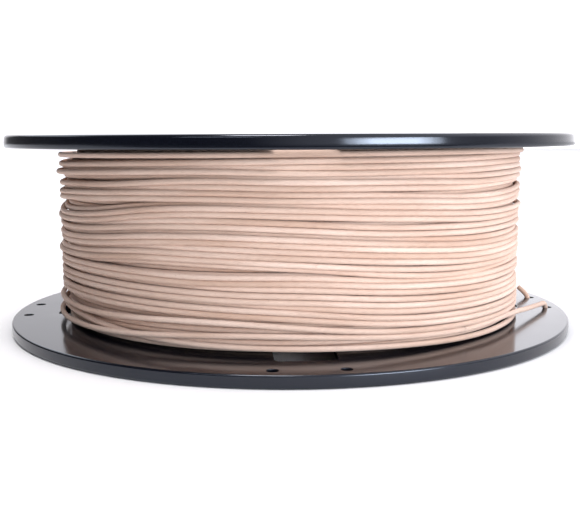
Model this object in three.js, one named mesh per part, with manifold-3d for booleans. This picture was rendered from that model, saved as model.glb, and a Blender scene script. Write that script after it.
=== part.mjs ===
// Filament spool: two flanges, a clip-in core barrel, a hub sleeve and the filament wound on them.
// Millimetres, +Z up. The spool's axis is Z and it stands on its lower flange, whose rim is at z = 0.

import * as THREE from 'three';
import { mergeVertices } from 'three/addons/utils/BufferGeometryUtils.js';
import Module from 'manifold-3d';

const wasm = await Module();
wasm.setup();

// ---- driving dimensions ----
const SPOOL_RADIUS = 100;
const SPOOL_WIDTH = 68;
const FLANGE_THICKNESS = 4.2;
const FLANGE_RECESS = 2.4;
const RIM_WIDTH = 2.7;
const EDGE_CHAMFER = 0.5;
const GAP = 0.3;

const BORE_RADIUS = 26.5;
const SLEEVE_WALL = 2.5;
const SLEEVE_SETBACK = 0.6;
const SLEEVE_FIN_COUNT = 4;
const SLEEVE_FIN_REACH = 35.6;
const SLEEVE_FIN_WIDTH = 2;

const BOSS_RADIUS = 33;
const BARREL_RADIUS = 40;
const BARREL_WALL = 2.4;
const ANCHOR_HOLE_RADIUS = 1.5;
const ANCHOR_ANGLE = THREE.MathUtils.degToRad(22.5);
const ANCHOR_HEIGHT = 8.5;

const HOOK_COUNT = 4;
const HOOK_WIDTH = 9;
const HOOK_THICKNESS = 1.8;
const HOOK_NOSE = 1.2;
const HOOK_NOSE_HEIGHT = 1.1;
const HOOK_ROOT_LENGTH = 6;

const BACKING_RING_INNER = 41;
const BACKING_RING_WIDTH = 2;
const RIB_COUNT = 8;
const RIB_WIDTH = 1.6;
const RIB_SETBACK = 0.4;

const WINDOW_COUNT = 4;
const WINDOW_START = 46;
const WINDOW_END = 84.3;
const WINDOW_WIDTH = 18.6;
const WINDOW_CORNER = 2.5;

const END_HOLE_PAIRS = 4;
const END_HOLE_RADIUS = 1.8;
const END_HOLE_RING = 94.9;
const END_HOLE_ANGLE = THREE.MathUtils.degToRad(6.15);

const STRAND_DIAMETER = 1.75;
const WINDING_RADIUS = 82.2;
const WINDING_INSET = 1;

const ROUND_SEGMENTS = 72;
const HOLE_SEGMENTS = 16;
const CORNER_SEGMENTS = 3;
const CUT_MARGIN = 1;
const MERGE_DISTANCE = 1e-4;

const SLEEVE_RADIUS = BORE_RADIUS + SLEEVE_WALL;
const LOWER_FACE = FLANGE_THICKNESS;
const UPPER_FACE = SPOOL_WIDTH - FLANGE_THICKNESS;
const HOOK_OUTER = BARREL_RADIUS - BARREL_WALL + GAP;
const HOOK_INNER = HOOK_OUTER - HOOK_THICKNESS;

// The loose end of the strand, from the groove it leaves the winding in, out to the rim,
// down through one end hole, along under the flange and up through the other hole of the pair.
const TAIL_ROUTE = [
  [50.1, -64.1, 8.1], [55.5, -59.5, 8.2], [60.5, -54.4, 8.3], [65.1, -48.8, 8.3],
  [70.2, -42.1, 8.1], [76.2, -34.1, 7.7], [79.9, -29.3, 7.3], [84.1, -23.7, 6.9],
  [87.7, -18.9, 6.6], [90.1, -15.6, 6.35], [91.6, -13.5, 6.25], [92.55, -12.15, 6.05],
  [93.3, -11.1, 5.35], [93.8, -10.45, 4.2], [94.05, -10.1, 3.15], [94.4, -9.55, 2.15],
  [94.85, -8.6, 1.4], [95.3, -7.3, 1.1], [95.9, -3.5, 1.1], [95.8, 0, 1.1],
  [95.4, 3.5, 1.1], [94.75, 7.15, 1.1], [94.4, 8.5, 1.35], [94.13, 9.42, 2.02],
  [93.95, 9.95, 3.1], [93.75, 10.3, 4.2], [93.15, 10.8, 5.45], [91.9, 11.65, 6.85],
  [90.55, 12.55, 8.15],
];
const TAIL_STEPS = 72;
const STRAND_SIDES = 8;
const GROOVE_RADIUS = STRAND_DIAMETER / 2 + 1.5 * GAP;

// The strand's first end, as [outward, sideways] from the axis at the anchor hole: it starts
// inside the barrel, passes out through the hole and turns into the first layer of the winding.
const INNER_END_ROUTE = [
  [32.4, 2.6], [33.9, 1.5], [35.6, 0.5], [37.4, 0.1], [39.2, 0], [41.0, -0.1],
  [42.4, -0.8], [43.3, -2.1], [43.6, -3.8], [43.5, -5.6],
];
const INNER_END_STEPS = 20;

// ---- geometry helpers ----
function solidOf(geometry) {
  const bare = geometry.clone();
  bare.deleteAttribute('normal');
  bare.deleteAttribute('uv');
  const merged = mergeVertices(bare, MERGE_DISTANCE);
  const mesh = new wasm.Mesh({
    numProp: 3,
    vertProperties: new Float32Array(merged.attributes.position.array),
    triVerts: new Uint32Array(merged.index.array),
  });
  return new wasm.Manifold(mesh);
}

function geometryOf(solid) {
  const mesh = solid.getMesh();
  const geometry = new THREE.BufferGeometry();
  geometry.setAttribute('position', new THREE.BufferAttribute(new Float32Array(mesh.vertProperties), 3));
  geometry.setIndex(new THREE.BufferAttribute(new Uint32Array(mesh.triVerts), 1));
  geometry.computeVertexNormals();
  return geometry;
}

// A ring turned about Z from a closed outline of [radius, z] points, listed anticlockwise.
function turned(outline) {
  const points = [...outline, outline[0]].map(([radius, z]) => new THREE.Vector2(radius, z));
  return new THREE.LatheGeometry(points, ROUND_SEGMENTS).rotateX(Math.PI / 2);
}

function ring(inner, outer, low, high) {
  return turned([[inner, low], [outer, low], [outer, high], [inner, high]]);
}

// A box given by its limits along a radius, across it and in height, turned to an angle about Z.
function radialBox(start, end, width, low, high, angle) {
  const box = new THREE.BoxGeometry(end - start, width, high - low);
  return box.translate((start + end) / 2, 0, (low + high) / 2).rotateZ(angle);
}

// An upright round post standing on a circle about Z, at an angle round it.
function roundPost(radius, low, high, circle, angle) {
  const post = new THREE.CylinderGeometry(radius, radius, high - low, HOLE_SEGMENTS);
  return post.rotateX(Math.PI / 2).translate(circle, 0, (low + high) / 2).rotateZ(angle);
}

function tubeAlong(route, radius, sides, steps) {
  const section = new THREE.Shape();
  for (let side = 0; side < sides; side += 1) {
    const angle = (2 * Math.PI * side) / sides;
    const corner = [radius * Math.cos(angle), radius * Math.sin(angle)];
    if (side === 0) {
      section.moveTo(...corner);
    } else {
      section.lineTo(...corner);
    }
  }
  section.closePath();
  const points = route.map((point) => new THREE.Vector3(...point));
  const path = new THREE.CatmullRomCurve3(points, false, 'centripetal');
  return new THREE.ExtrudeGeometry(section, { steps, bevelEnabled: false, extrudePath: path });
}

function evenAngles(count, first = 0) {
  return Array.from({ length: count }, (_, index) => first + (2 * Math.PI * index) / count);
}

// ---- flanges ----
function windowPrism(angle) {
  const half = WINDOW_WIDTH / 2;
  const c = WINDOW_CORNER;
  const outline = new THREE.Shape();
  outline.moveTo(WINDOW_START + c, -half);
  outline.lineTo(WINDOW_END - c, -half);
  outline.absarc(WINDOW_END - c, -half + c, c, -Math.PI / 2, 0);
  outline.absarc(WINDOW_END - c, half - c, c, 0, Math.PI / 2);
  outline.absarc(WINDOW_START + c, half - c, c, Math.PI / 2, Math.PI);
  outline.absarc(WINDOW_START + c, -half + c, c, Math.PI, 1.5 * Math.PI);
  const prism = new THREE.ExtrudeGeometry(outline, {
    depth: FLANGE_THICKNESS + 2 * CUT_MARGIN,
    bevelEnabled: false,
    curveSegments: CORNER_SEGMENTS,
  });
  return prism.translate(0, 0, -CUT_MARGIN).rotateZ(angle);
}

function flangeDisc() {
  const rimInner = SPOOL_RADIUS - RIM_WIDTH;
  const bore = SLEEVE_RADIUS + GAP;
  return turned([
    [bore, 0], [BOSS_RADIUS, 0], [BOSS_RADIUS, FLANGE_RECESS],
    [BACKING_RING_INNER, FLANGE_RECESS], [BACKING_RING_INNER, RIB_SETBACK],
    [BACKING_RING_INNER + BACKING_RING_WIDTH, RIB_SETBACK],
    [BACKING_RING_INNER + BACKING_RING_WIDTH, FLANGE_RECESS],
    [rimInner, FLANGE_RECESS], [rimInner, 0],
    [SPOOL_RADIUS - EDGE_CHAMFER, 0], [SPOOL_RADIUS, EDGE_CHAMFER],
    [SPOOL_RADIUS, FLANGE_THICKNESS - EDGE_CHAMFER], [SPOOL_RADIUS - EDGE_CHAMFER, FLANGE_THICKNESS],
    [bore, FLANGE_THICKNESS],
  ]);
}

function flangeSolid() {
  let flange = solidOf(flangeDisc());
  const ribStart = BACKING_RING_INNER + BACKING_RING_WIDTH / 2;
  const ribEnd = SPOOL_RADIUS - RIM_WIDTH / 2;
  for (const angle of evenAngles(RIB_COUNT, Math.PI / RIB_COUNT)) {
    const rib = radialBox(ribStart, ribEnd, RIB_WIDTH, RIB_SETBACK, FLANGE_RECESS + GAP, angle);
    flange = flange.add(solidOf(rib));
  }
  for (const angle of evenAngles(WINDOW_COUNT)) {
    flange = flange.subtract(solidOf(windowPrism(angle)));
  }
  const cutLow = -CUT_MARGIN;
  const cutHigh = FLANGE_THICKNESS + CUT_MARGIN;
  for (const angle of evenAngles(END_HOLE_PAIRS)) {
    for (const side of [-1, 1]) {
      const at = angle + side * END_HOLE_ANGLE;
      const hole = roundPost(END_HOLE_RADIUS, cutLow, cutHigh, END_HOLE_RING, at);
      flange = flange.subtract(solidOf(hole));
    }
  }
  const slotInner = HOOK_INNER - HOOK_NOSE;
  const slotOuter = HOOK_OUTER + GAP;
  for (const angle of evenAngles(HOOK_COUNT, Math.PI / HOOK_COUNT)) {
    const slot = radialBox(slotInner, slotOuter, HOOK_WIDTH + 2 * GAP, cutLow, cutHigh, angle);
    flange = flange.subtract(solidOf(slot));
  }
  return flange;
}

// ---- hub ----
function coreBarrel() {
  const low = LOWER_FACE + GAP;
  const high = UPPER_FACE - GAP;
  let barrel = solidOf(ring(BARREL_RADIUS - BARREL_WALL, BARREL_RADIUS, low, high));
  const noseTop = FLANGE_RECESS - GAP;
  const noseBottom = noseTop - HOOK_NOSE_HEIGHT;
  for (const angle of evenAngles(HOOK_COUNT, Math.PI / HOOK_COUNT)) {
    const legEnd = low + HOOK_ROOT_LENGTH;
    const lowerLeg = radialBox(HOOK_INNER, HOOK_OUTER, HOOK_WIDTH, noseBottom, legEnd, angle);
    const lowerNose = radialBox(HOOK_INNER, HOOK_OUTER + HOOK_NOSE, HOOK_WIDTH, noseBottom, noseTop, angle);
    const lowerHook = solidOf(lowerLeg).add(solidOf(lowerNose));
    const upperLeg = radialBox(
      HOOK_INNER, HOOK_OUTER, HOOK_WIDTH, SPOOL_WIDTH - legEnd, SPOOL_WIDTH - noseBottom, angle,
    );
    const upperNose = radialBox(
      HOOK_INNER, HOOK_OUTER + HOOK_NOSE, HOOK_WIDTH, SPOOL_WIDTH - noseTop, SPOOL_WIDTH - noseBottom, angle,
    );
    barrel = barrel.add(lowerHook).add(solidOf(upperLeg).add(solidOf(upperNose)));
  }
  const drill = BARREL_WALL + 2 * CUT_MARGIN;
  const anchor = new THREE.CylinderGeometry(ANCHOR_HOLE_RADIUS, ANCHOR_HOLE_RADIUS, drill, HOLE_SEGMENTS);
  anchor.rotateZ(Math.PI / 2).translate(BARREL_RADIUS - BARREL_WALL / 2, 0, ANCHOR_HEIGHT);
  anchor.rotateZ(ANCHOR_ANGLE);
  return barrel.subtract(solidOf(anchor));
}

function hubSleeve() {
  const low = SLEEVE_SETBACK;
  const high = SPOOL_WIDTH - SLEEVE_SETBACK;
  const c = EDGE_CHAMFER;
  let sleeve = solidOf(turned([
    [BORE_RADIUS + c, low], [SLEEVE_RADIUS, low], [SLEEVE_RADIUS, high],
    [BORE_RADIUS + c, high], [BORE_RADIUS, high - c], [BORE_RADIUS, low + c],
  ]));
  for (const angle of evenAngles(SLEEVE_FIN_COUNT)) {
    const fin = radialBox(
      SLEEVE_RADIUS - SLEEVE_WALL / 2, SLEEVE_FIN_REACH, SLEEVE_FIN_WIDTH,
      LOWER_FACE + GAP, UPPER_FACE - GAP, angle,
    );
    sleeve = sleeve.add(solidOf(fin));
  }
  return sleeve;
}

// ---- filament ----
function innerEnd(radius) {
  const route = INNER_END_ROUTE.map(([outward, sideways]) => [outward, sideways, ANCHOR_HEIGHT]);
  return tubeAlong(route, radius, STRAND_SIDES, INNER_END_STEPS).rotateZ(ANCHOR_ANGLE);
}

function windingSolid() {
  const inner = BARREL_RADIUS + GAP;
  const outer = WINDING_RADIUS - STRAND_DIAMETER;
  const layers = solidOf(ring(inner, outer, LOWER_FACE + GAP, UPPER_FACE - GAP));
  return layers.subtract(solidOf(innerEnd(GROOVE_RADIUS)));
}

function outerTurns() {
  const inner = WINDING_RADIUS - STRAND_DIAMETER + GAP;
  const low = LOWER_FACE + WINDING_INSET;
  const high = UPPER_FACE - GAP;
  const layer = solidOf(ring(inner, WINDING_RADIUS, low, high));
  const groove = tubeAlong(TAIL_ROUTE, GROOVE_RADIUS, STRAND_SIDES, TAIL_STEPS);
  return layer.subtract(solidOf(groove));
}

// ---- finishes ----
const flangePlastic = new THREE.MeshStandardMaterial({ color: 0x17191f, roughness: 0.22, metalness: 0 });
const hubPlastic = new THREE.MeshStandardMaterial({ color: 0x1b1c20, roughness: 0.45, metalness: 0 });
const woodFilament = new THREE.MeshStandardMaterial({ color: 0xd9b79d, roughness: 0.85, metalness: 0 });

// ---- assembly ----
const spool = new THREE.Group();
spool.name = 'filament_spool';

function addPiece(name, geometry, material) {
  const piece = new THREE.Mesh(geometry, material);
  piece.name = name;
  spool.add(piece);
  return piece;
}

const flangeGeometry = geometryOf(flangeSolid());
addPiece('lower_flange', flangeGeometry, flangePlastic);
const upperFlange = addPiece('upper_flange', flangeGeometry.clone(), flangePlastic);
upperFlange.rotation.x = Math.PI;
upperFlange.position.z = SPOOL_WIDTH;
addPiece('core_barrel', geometryOf(coreBarrel()), hubPlastic);
addPiece('hub_sleeve', geometryOf(hubSleeve()), hubPlastic);
addPiece('filament_winding', geometryOf(windingSolid()), woodFilament);
addPiece('filament_outer_turns', geometryOf(outerTurns()), woodFilament);
addPiece('filament_inner_end', innerEnd(STRAND_DIAMETER / 2), woodFilament);
addPiece('filament_tail', tubeAlong(TAIL_ROUTE, STRAND_DIAMETER / 2, STRAND_SIDES, TAIL_STEPS), woodFilament);

export default spool;
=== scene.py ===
"""Looks of a full filament spool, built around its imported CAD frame.

Everything is in metres in the frame's own axes: +Z is the spool's axis, and the spool
stands on its lower flange at z = 0.
"""

from __future__ import annotations

import logging
import math
from dataclasses import dataclass, field, replace
from enum import Enum, IntEnum
from typing import Callable, Sequence

import bpy
import numpy as np
from mathutils import Euler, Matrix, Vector


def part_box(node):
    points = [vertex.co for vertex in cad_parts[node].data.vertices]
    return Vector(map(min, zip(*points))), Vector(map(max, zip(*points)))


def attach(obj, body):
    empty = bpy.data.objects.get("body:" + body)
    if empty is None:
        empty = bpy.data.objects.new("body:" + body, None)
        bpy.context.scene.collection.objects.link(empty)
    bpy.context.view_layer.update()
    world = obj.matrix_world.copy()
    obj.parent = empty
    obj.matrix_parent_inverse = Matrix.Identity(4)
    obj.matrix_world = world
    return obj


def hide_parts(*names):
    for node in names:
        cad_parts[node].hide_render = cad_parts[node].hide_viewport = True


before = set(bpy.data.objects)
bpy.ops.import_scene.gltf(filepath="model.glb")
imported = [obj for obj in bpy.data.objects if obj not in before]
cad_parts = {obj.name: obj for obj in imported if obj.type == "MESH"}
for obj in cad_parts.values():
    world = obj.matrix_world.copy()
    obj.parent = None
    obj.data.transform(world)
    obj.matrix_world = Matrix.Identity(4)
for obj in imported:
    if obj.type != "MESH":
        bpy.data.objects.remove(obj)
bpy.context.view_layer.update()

LOG = logging.getLogger("filament_spool")
BODY = "root"
MM = 0.001
FULL_WEIGHT = 100  # a large face sets the shading of the edges round it
WHOLE_TURN_SLIP = 1e-9  # keeps a place that ends a whole turn in that turn

Point = tuple[float, float, float]
Span = tuple[float, float]
Outline = Callable[[float], np.ndarray]
Piece = bpy.types.Object
Socket = bpy.types.NodeSocket


# ---------------------------------------------------------------- mesh making


def smooth_step(value: np.ndarray) -> np.ndarray:
    """Ease a 0 to 1 ramp in and out, clamping what lies outside it."""
    t = np.clip(value, 0.0, 1.0)
    return t * t * (3.0 - 2.0 * t)


def circle(sides: int) -> np.ndarray:
    """Return evenly spaced points on the unit circle, of shape (sides, 2)."""
    angles = 2 * math.pi * np.arange(sides) / sides
    return np.column_stack([np.cos(angles), np.sin(angles)])


def travelled(path: np.ndarray) -> np.ndarray:
    """Return the distance along a path at each of its points."""
    return np.concatenate([[0.0], np.cumsum(np.linalg.norm(np.diff(path, axis=0), axis=1))])


def piece_from_mesh(name: str, mesh: bpy.types.Mesh) -> Piece:
    """Link a mesh into the scene as an object of that name."""
    piece = bpy.data.objects.new(name, mesh)
    bpy.context.scene.collection.objects.link(piece)
    return piece


def loft(
    name: str,
    rings: np.ndarray,
    closed: bool = False,
    texture: np.ndarray | None = None,
) -> Piece:
    """Skin a stack of rings into one closed body.

    Args:
        name: The new object's name.
        rings: Points of shape (rings, points in a ring, 3).
        closed: Whether the last ring joins the first; otherwise both ends are capped.
        texture: One 3-D texture point for each ring point, kept as the attribute "strand".

    Returns:
        The linked object.
    """
    count, around = rings.shape[:2]
    vertices = rings.reshape(-1, 3)
    spans = count if closed else count - 1
    first = np.arange(spans)[:, None] * around
    row = (first + np.arange(around)).ravel()
    step = (first + (np.arange(around) + 1) % around).ravel()
    total = count * around
    quads = np.stack([row, step, (step + around) % total, (row + around) % total], axis=1)
    mesh = bpy.data.meshes.new(name)
    caps = [] if closed else [list(range(around))[::-1], list(range(total - around, total))]
    loops = np.concatenate([quads.ravel(), *[np.array(cap) for cap in caps]])
    sizes = np.concatenate([np.full(len(quads), 4), np.array([len(cap) for cap in caps], int)])
    mesh.vertices.add(len(vertices))
    mesh.vertices.foreach_set("co", vertices.astype(np.float32).ravel())
    mesh.loops.add(len(loops))
    mesh.loops.foreach_set("vertex_index", loops.astype(np.int32))
    mesh.polygons.add(len(sizes))
    starts = np.concatenate([[0], np.cumsum(sizes)[:-1]])
    mesh.polygons.foreach_set("loop_start", starts.astype(np.int32))
    mesh.polygons.foreach_set("use_smooth", np.ones(len(sizes), bool))
    mesh.update(calc_edges=True)
    if texture is not None:
        attribute = mesh.attributes.new("strand", "FLOAT_VECTOR", "POINT")
        attribute.data.foreach_set("vector", texture.astype(np.float32).ravel())
    mesh.validate()
    return piece_from_mesh(name, mesh)


def rounded_outline(corners: Sequence[Point], steps: int = 5) -> np.ndarray:
    """Round the corners of a closed polygon with arcs.

    Args:
        corners: Each corner as (x, y, fillet radius).
        steps: Arc pieces at each rounded corner.

    Returns:
        The outline's points, of shape (n, 2).
    """
    points: list[np.ndarray] = []
    total = len(corners)
    for index, (x, y, fillet) in enumerate(corners):
        here = np.array([x, y])
        if fillet <= 0:
            points.append(here)
            continue
        back = np.array(corners[index - 1][:2]) - here
        ahead = np.array(corners[(index + 1) % total][:2]) - here
        back /= np.linalg.norm(back)
        ahead /= np.linalg.norm(ahead)
        half = math.acos(float(np.clip(back @ ahead, -1.0, 1.0))) / 2
        bisector = back + ahead
        bisector /= np.linalg.norm(bisector)
        centre = here + bisector * fillet / math.sin(half)
        start = here + back * fillet / math.tan(half) - centre
        end = here + ahead * fillet / math.tan(half) - centre
        turn = math.pi - 2 * half
        for step in range(steps + 1):
            share = step / steps
            weight_start = math.sin((1 - share) * turn) / math.sin(turn)
            weight_end = math.sin(share * turn) / math.sin(turn)
            points.append(centre + weight_start * start + weight_end * end)
    return np.array(points)


def rounded_box(
    first: Span, second: Span, fillets: Sequence[float], steps: int = 5
) -> np.ndarray:
    """Make a rectangle with rounded corners, anticlockwise from its lowest corner.

    Args:
        first: Where it starts and ends on its first axis.
        second: Where it starts and ends on its second axis.
        fillets: Each corner's radius.
        steps: Arc pieces at each rounded corner.

    Returns:
        The outline's points, of shape (n, 2).
    """
    places = ((0, 0), (1, 0), (1, 1), (0, 1))
    corners = [(first[x], second[y], fillet) for (x, y), fillet in zip(places, fillets)]
    return rounded_outline(corners, steps)


def turned(name: str, outline: np.ndarray, segments: int) -> Piece:
    """Turn a closed (radius, height) outline about Z.

    Args:
        name: The new object's name.
        outline: Points of shape (n, 2), listed anticlockwise.
        segments: Flats round the axis.

    Returns:
        The linked object.
    """
    rings = np.zeros((segments, len(outline), 3))
    rings[..., :2] = outline[None, :, :1] * circle(segments)[:, None, :]
    rings[..., 2] = outline[:, 1]
    return loft(name, rings, closed=True)


class Axis(IntEnum):
    """An axis of the frame, by its place in a point."""

    X = 0
    Y = 1
    Z = 2


def extruded(name: str, outline: np.ndarray, axis: Axis, ends: Span) -> Piece:
    """Extrude a flat outline along an axis.

    Args:
        name: The new object's name.
        outline: Points of shape (n, 2), in the two other axes in their order.
        axis: The axis that it is drawn out along.
        ends: Where it starts and ends on that axis.

    Returns:
        The linked object.
    """
    return loft(name, np.array([np.insert(outline, axis, end, axis=1) for end in ends]))


def swept(
    name: str,
    path: np.ndarray,
    frame_axes: tuple[np.ndarray, np.ndarray],
    section: np.ndarray,
    start: float = 0.0,
) -> Piece:
    """Sweep a strand's section along a path, textured by its length.

    Args:
        name: The new object's name.
        path: Points along the strand's centre, of shape (n, 3).
        frame_axes: The section's two unit vectors at each point, of the same shape.
        section: The section's points, of shape (n or 1, sides, 2).
        start: The texture's coordinate along the strand at its first point.

    Returns:
        The linked object.
    """
    across, upward = frame_axes
    rings = path[:, None, :] + across[:, None, :] * section[..., :1]
    rings = rings + upward[:, None, :] * section[..., 1:]
    texture = np.zeros(rings.shape)
    texture[..., 0] = travelled(path)[:, None] + start
    texture[..., 1:] = section
    return loft(name, rings[:, ::-1], texture=texture[:, ::-1])


def turn_about_z(piece: Piece, angle: float) -> Piece:
    """Turn a piece's mesh about the spool's axis."""
    piece.data.transform(Euler((0.0, 0.0, angle)).to_matrix().to_4x4())
    return piece


def evaluated_mesh(piece: Piece) -> bpy.types.Mesh:
    """Return the piece's mesh with its modifiers applied."""
    depsgraph = bpy.context.evaluated_depsgraph_get()
    return bpy.data.meshes.new_from_object(piece.evaluated_get(depsgraph))


class Join(Enum):
    """How a tool body acts on a base body."""

    ADD = "UNION"
    CUT = "DIFFERENCE"


def combine(base: Piece, tools: Sequence[Piece], how: Join) -> Piece:
    """Add tool bodies to a base, or cut them from it, and remove the tools.

    Args:
        base: The object that keeps the result.
        tools: Closed bodies.
        how: Whether they are added or cut.

    Returns:
        The base object.
    """
    for tool in tools:
        modifier = base.modifiers.new("join", "BOOLEAN")
        modifier.operation = how.value
        modifier.solver = "MANIFOLD"
        modifier.object = tool
        result = evaluated_mesh(base)
        base.modifiers.clear()
        base.data = result
        bpy.data.objects.remove(tool)
    return base


def crisp(piece: Piece, sharp_angle: float = 32.0) -> Piece:
    """Shade a moulded piece smooth, with flats kept flat and hard edges kept hard.

    Args:
        piece: The piece to shade.
        sharp_angle: Edges that turn more than this many degrees stay hard.

    Returns:
        The same piece.
    """
    mesh = piece.data
    mesh.polygons.foreach_set("use_smooth", np.ones(len(mesh.polygons), bool))
    mesh.set_sharp_from_angle(angle=math.radians(sharp_angle))
    modifier = piece.modifiers.new("flats", "WEIGHTED_NORMAL")
    modifier.keep_sharp = True
    modifier.weight = FULL_WEIGHT
    piece.data = evaluated_mesh(piece)
    piece.modifiers.clear()
    return piece


# ---------------------------------------------------------------- finishes


class Mix(Enum):
    """What a mix node blends."""

    COLOUR = "RGBA"
    VALUE = "FLOAT"


class NodeBench:
    """A short way to lay out the nodes of a material or of the surroundings."""

    UNIT = (0.0, 1.0)
    MIDDLE = (0.3, 0.7)

    def __init__(self, owner: bpy.types.Material | bpy.types.World, output: str) -> None:
        """Clear the owner's nodes and add its output.

        Args:
            owner: The material or world.
            output: The output node's type.
        """
        owner.use_nodes = True
        self.owner = owner
        self.tree = owner.node_tree
        self.tree.nodes.clear()
        self.output = self.add(output)

    @classmethod
    def for_material(cls, name: str) -> NodeBench:
        """Open a bench on a new material of that name."""
        return cls(bpy.data.materials.new(name), "ShaderNodeOutputMaterial")

    def feed(self, target: Socket, value: Socket | Sequence[float] | float) -> None:
        """Give an input its value, or link an output to it.

        Args:
            target: The input socket.
            value: An output socket, a colour or vector of three parts, or a number.
        """
        if isinstance(value, Socket):
            self.tree.links.new(value, target)
        elif target.type == "RGBA":
            target.default_value = (*value, 1.0)
        else:
            target.default_value = value

    def add(
        self, kind: str, feeds: dict[str | int, object] | None = None, **settings: object
    ) -> bpy.types.Node:
        """Add a node.

        Args:
            kind: The node's type.
            feeds: What goes into its inputs, by their names or places.
            settings: The node's own properties.

        Returns:
            The new node.
        """
        node = self.tree.nodes.new(kind)
        for key, value in settings.items():
            setattr(node, key, value)
        for key, value in (feeds or {}).items():
            self.feed(node.inputs[key], value)
        return node

    def scaled(self, vector: Socket, scale: Point) -> Socket:
        """Stretch texture coordinates by a factor along each axis."""
        feeds = {0: vector, 1: scale}
        return self.add("ShaderNodeVectorMath", feeds, operation="MULTIPLY").outputs["Vector"]

    def noise(self, vector: Socket, scale: float, detail: float) -> Socket:
        """Return a fractal noise value at those coordinates."""
        feeds = {"Vector": vector, "Scale": scale, "Detail": detail}
        return self.add("ShaderNodeTexNoise", feeds).outputs["Fac"]

    def ranged(self, value: Socket, source: Span, target: Span = UNIT) -> Socket:
        """Map a value from one range to another, clamped.

        Args:
            value: The value.
            source: The range that it comes in.
            target: The range that it leaves in.

        Returns:
            The mapped value.
        """
        feeds = {"Value": value, "From Min": source[0], "From Max": source[1]}
        feeds |= {"To Min": target[0], "To Max": target[1]}
        return self.add("ShaderNodeMapRange", feeds).outputs["Result"]

    def mixed(
        self,
        share: Socket,
        first: Socket | Point | float,
        second: Socket | Point | float,
        kind: Mix = Mix.COLOUR,
    ) -> Socket:
        """Blend from one colour or value to another.

        Args:
            share: The second one's share, from 0 to 1.
            first: The first colour or value.
            second: The second colour or value.
            kind: Which of the two they are.

        Returns:
            The blend.
        """
        feeds = {"Factor": share, "A": first, "B": second}
        return self.add("ShaderNodeMix", feeds, data_type=kind.value).outputs["Result"]

    def bump(self, height: Socket, depth: float, strength: float) -> Socket:
        """Return a normal bumped by a height texture of that depth in metres."""
        feeds = {"Height": height, "Distance": depth, "Strength": strength}
        return self.add("ShaderNodeBump", feeds).outputs["Normal"]

    def surface(self, **sockets: object) -> bpy.types.Material:
        """Finish a material with a Principled surface.

        Args:
            sockets: What goes into its inputs, named with underscores for spaces.

        Returns:
            The finished material.
        """
        feeds = {key.replace("_", " "): value for key, value in sockets.items()}
        shader = self.add("ShaderNodeBsdfPrincipled", feeds)
        self.feed(self.output.inputs["Surface"], shader.outputs["BSDF"])
        return self.owner


@dataclass(frozen=True)
class PolishedPlastic:
    """Black polystyrene from a polished mould: deep, glossy, with faint flow marks."""

    slot: str = "flange_plastic"
    dark: Point = (0.0026, 0.0031, 0.0058)
    light: Point = (0.0042, 0.0049, 0.0085)
    roughness: Span = (0.12, 0.17)
    gloss_range: Span = (0.35, 0.65)
    flow_stretch: Point = (1.0, 1.0, 3.0)
    flow_scale: float = 26.0
    grain_scale: float = 1900.0
    grain_depth: float = 0.012 * MM
    grain_strength: float = 0.35
    glint: Point = (0.80, 0.87, 1.0)
    refraction: float = 1.59
    specular: float = 0.45

    def material(self) -> bpy.types.Material:
        """Build the node material."""
        bench = NodeBench.for_material(self.slot)
        place = bench.add("ShaderNodeTexCoord").outputs["Object"]
        flow = bench.noise(bench.scaled(place, self.flow_stretch), self.flow_scale, 4.0)
        grain = bench.noise(place, self.grain_scale, 2.0)
        return bench.surface(
            Base_Color=bench.mixed(bench.ranged(flow, bench.MIDDLE), self.dark, self.light),
            Roughness=bench.ranged(flow, self.gloss_range, self.roughness),
            Normal=bench.bump(grain, self.grain_depth, self.grain_strength),
            IOR=self.refraction,
            Specular_IOR_Level=self.specular,
            Specular_Tint=self.glint,
        )


@dataclass(frozen=True)
class SatinPlastic:
    """Black plastic straight from a plain mould: satin, finely pitted."""

    slot: str = "hub_plastic"
    dark: Point = (0.009, 0.0095, 0.012)
    light: Point = (0.020, 0.021, 0.025)
    roughness: Span = (0.34, 0.50)
    cloud_scale: float = 60.0
    pit_scale: float = 2600.0
    pit_depth: float = 0.03 * MM
    pit_strength: float = 0.5
    refraction: float = 1.5

    def material(self) -> bpy.types.Material:
        """Build the node material."""
        bench = NodeBench.for_material(self.slot)
        place = bench.add("ShaderNodeTexCoord").outputs["Object"]
        cloud = bench.noise(place, self.cloud_scale, 3.0)
        pits = bench.noise(place, self.pit_scale, 3.0)
        return bench.surface(
            Base_Color=bench.mixed(bench.ranged(cloud, bench.MIDDLE), self.dark, self.light),
            Roughness=bench.ranged(pits, bench.MIDDLE, self.roughness),
            Normal=bench.bump(pits, self.pit_depth, self.pit_strength),
            IOR=self.refraction,
        )


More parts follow.
